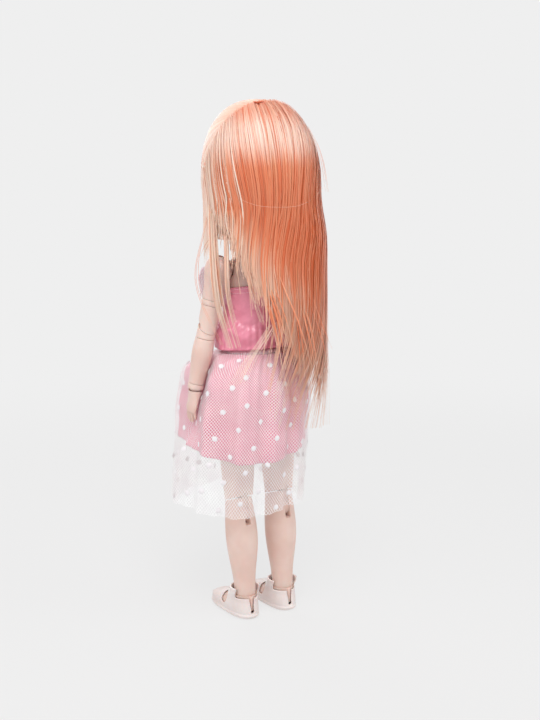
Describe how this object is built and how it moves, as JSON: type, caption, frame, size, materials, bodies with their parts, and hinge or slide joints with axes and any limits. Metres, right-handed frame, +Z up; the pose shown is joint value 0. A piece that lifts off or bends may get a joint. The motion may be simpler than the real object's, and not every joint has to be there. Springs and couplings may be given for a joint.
{
  "type": "fashion doll",
  "caption": "Standing jointed fashion doll with long straight hair, a pink satin party dress with a dotted net overskirt, and strapped shoes.",
  "frame": {"origin": "on the surface that the doll stands on, under the middle of its outline", "axes": "+Z up, the doll looks along -Y, its own left side is +X"},
  "size_m": [0.0881, 0.0822, 0.3],
  "materials": {
    "skin": "satin vinyl and hard plastic",
    "skin_joint": "satin hard plastic",
    "eye": "painted and glossy",
    "lash": "black fibre",
    "hair": "glossy straight synthetic fibre",
    "satin": "glossy satin",
    "lace": "matte lace",
    "tulle": "sheer net with flocked dots",
    "shoe": "satin soft vinyl"
  },
  "bodies": {
    "pelvis": {"pelvis": "skin", "waist_ball": "skin_joint", "waistband": "satin", "satin_skirt": "satin", "tulle_overskirt": "tulle"},
    "chest": {"chest": "skin", "bodice": "satin", "back_placket": "satin", "lace_ruffle": "lace"},
    "neck": {"neck": "skin"},
    "head": {"head_shell": "skin", "left_eye": "eye", "right_eye": "eye", "left_eyelash": "lash", "right_eyelash": "lash", "hair_cap": "hair", "hair_fringe": "hair", "hair_back": "hair", "left_hair_side": "hair", "right_hair_side": "hair", "left_shoulder_lock": "hair"},
    "left_shoulder": {"left_shoulder_ball": "skin_joint"},
    "left_upper_arm": {"left_upper_arm": "skin"},
    "left_mid_arm": {"left_bicep_ring": "skin_joint", "left_arm_sleeve": "skin", "left_elbow_tang": "skin_joint"},
    "left_forearm": {"left_elbow_pin": "skin_joint", "left_elbow": "skin", "left_forearm": "skin"},
    "left_wrist": {"left_wrist_ball": "skin_joint"},
    "left_hand": {"left_hand": "skin"},
    "right_shoulder": {"right_shoulder_ball": "skin_joint"},
    "right_upper_arm": {"right_upper_arm": "skin"},
    "right_mid_arm": {"right_bicep_ring": "skin_joint", "right_arm_sleeve": "skin", "right_elbow_tang": "skin_joint"},
    "right_forearm": {"right_elbow_pin": "skin_joint", "right_elbow": "skin", "right_forearm": "skin"},
    "right_wrist": {"right_wrist_ball": "skin_joint"},
    "right_hand": {"right_hand": "skin"},
    "left_hip": {"left_hip_ball": "skin_joint"},
    "left_thigh": {"left_thigh": "skin", "left_knee_tang": "skin_joint"},
    "left_shin": {"left_shin": "skin", "left_knee_pin": "skin_joint"},
    "left_foot": {"left_ankle_ball": "skin_joint", "left_foot": "skin", "left_shoe": "shoe"},
    "right_hip": {"right_hip_ball": "skin_joint"},
    "right_thigh": {"right_thigh": "skin", "right_knee_tang": "skin_joint"},
    "right_shin": {"right_shin": "skin", "right_knee_pin": "skin_joint"},
    "right_foot": {"right_ankle_ball": "skin_joint", "right_foot": "skin", "right_shoe": "shoe"}
  },
  "joints": [
    {"name": "waist_turn", "type": "hinge", "parent": "pelvis", "child": "chest", "pos_m": [-0.0029, 0.0065, 0.1606], "axis": [0, 0, 1], "range_deg": [-25, 25]},
    {"name": "neck_nod", "type": "hinge", "parent": "chest", "child": "neck", "pos_m": [-0.0029, 0.009, 0.213], "axis": [1, 0, 0], "range_deg": [-15, 15]},
    {"name": "head_turn", "type": "hinge", "parent": "neck", "child": "head", "pos_m": [-0.0029, 0.009, 0.2315], "axis": [0, 0, 1], "range_deg": [-75, 75], "deforming": ["hair_back", "left_hair_side", "right_hair_side", "left_shoulder_lock"]},
    {"name": "left_shoulder_swing", "type": "hinge", "parent": "chest", "child": "left_shoulder", "pos_m": [0.0233, 0.0091, 0.2055], "axis": [-1, 0, 0], "range_deg": [-45, 135], "deforming": ["lace_ruffle"]},
    {"name": "left_arm_raise", "type": "hinge", "parent": "left_shoulder", "child": "left_upper_arm", "pos_m": [0.0233, 0.0091, 0.2055], "axis": [0, -0.9903, 0.1392], "range_deg": [0, 75]},
    {"name": "left_upper_arm_twist", "type": "hinge", "parent": "left_upper_arm", "child": "left_mid_arm", "pos_m": [0.02609, 0.0065, 0.18699], "axis": [-0.1478, 0.1376, 0.9794], "range_deg": [-90, 90]},
    {"name": "left_elbow_bend", "type": "hinge", "parent": "left_mid_arm", "child": "left_forearm", "pos_m": [0.02836, 0.00201, 0.17229], "axis": [-0.989, -0.0206, -0.1464], "range_deg": [0, 85]},
    {"name": "left_hand_twist", "type": "hinge", "parent": "left_forearm", "child": "left_wrist", "pos_m": [0.03343, -0.00033, 0.13841], "axis": [-0.1478, 0.1376, 0.9794], "range_deg": [-80, 80]},
    {"name": "left_wrist_bend", "type": "hinge", "parent": "left_wrist", "child": "left_hand", "pos_m": [0.03343, -0.00033, 0.13841], "axis": [0, 0.9903, -0.1392], "range_deg": [-30, 30]},
    {"name": "right_shoulder_swing", "type": "hinge", "parent": "chest", "child": "right_shoulder", "pos_m": [-0.0291, 0.0091, 0.2055], "axis": [-1, 0, 0], "range_deg": [-45, 135]},
    {"name": "right_arm_raise", "type": "hinge", "parent": "right_shoulder", "child": "right_upper_arm", "pos_m": [-0.0291, 0.0091, 0.2055], "axis": [0, 0.9903, -0.1392], "range_deg": [0, 75]},
    {"name": "right_upper_arm_twist", "type": "hinge", "parent": "right_upper_arm", "child": "right_mid_arm", "pos_m": [-0.03189, 0.0065, 0.18699], "axis": [0.1478, 0.1376, 0.9794], "range_deg": [-90, 90]},
    {"name": "right_elbow_bend", "type": "hinge", "parent": "right_mid_arm", "child": "right_forearm", "pos_m": [-0.03416, 0.00201, 0.17229], "axis": [-0.989, 0.0206, 0.1464], "range_deg": [0, 85]},
    {"name": "right_hand_twist", "type": "hinge", "parent": "right_forearm", "child": "right_wrist", "pos_m": [-0.03923, -0.00033, 0.13841], "axis": [0.1478, 0.1376, 0.9794], "range_deg": [-80, 80]},
    {"name": "right_wrist_bend", "type": "hinge", "parent": "right_wrist", "child": "right_hand", "pos_m": [-0.03923, -0.00033, 0.13841], "axis": [0, 0.9903, -0.1392], "range_deg": [-30, 30]},
    {"name": "left_hip_swing", "type": "hinge", "parent": "pelvis", "child": "left_hip", "pos_m": [0.0111, 0.0055, 0.128], "axis": [-1, 0, 0], "range_deg": [-12, 80], "deforming": ["satin_skirt", "tulle_overskirt"]},
    {"name": "left_hip_spread", "type": "hinge", "parent": "left_hip", "child": "left_thigh", "pos_m": [0.0111, 0.0055, 0.128], "axis": [0, -1, 0], "range_deg": [0, 32]},
    {"name": "left_knee_bend", "type": "hinge", "parent": "left_thigh", "child": "left_shin", "pos_m": [0.0109, 0.0139, 0.062], "axis": [1, 0, 0], "range_deg": [0, 85]},
    {"name": "left_ankle_bend", "type": "hinge", "parent": "left_shin", "child": "left_foot", "pos_m": [0.01016, 0.0149, 0.0165], "axis": [1, 0, 0], "range_deg": [-15, 15]},
    {"name": "right_hip_swing", "type": "hinge", "parent": "pelvis", "child": "right_hip", "pos_m": [-0.0169, 0.0055, 0.128], "axis": [-1, 0, 0], "range_deg": [-12, 80]},
    {"name": "right_hip_spread", "type": "hinge", "parent": "right_hip", "child": "right_thigh", "pos_m": [-0.0169, 0.0055, 0.128], "axis": [0, 1, 0], "range_deg": [0, 32]},
    {"name": "right_knee_bend", "type": "hinge", "parent": "right_thigh", "child": "right_shin", "pos_m": [-0.0167, 0.0139, 0.062], "axis": [1, 0, 0], "range_deg": [0, 85]},
    {"name": "right_ankle_bend", "type": "hinge", "parent": "right_shin", "child": "right_foot", "pos_m": [-0.01596, 0.0149, 0.0165], "axis": [1, 0, 0], "range_deg": [-15, 15]}
  ]
}
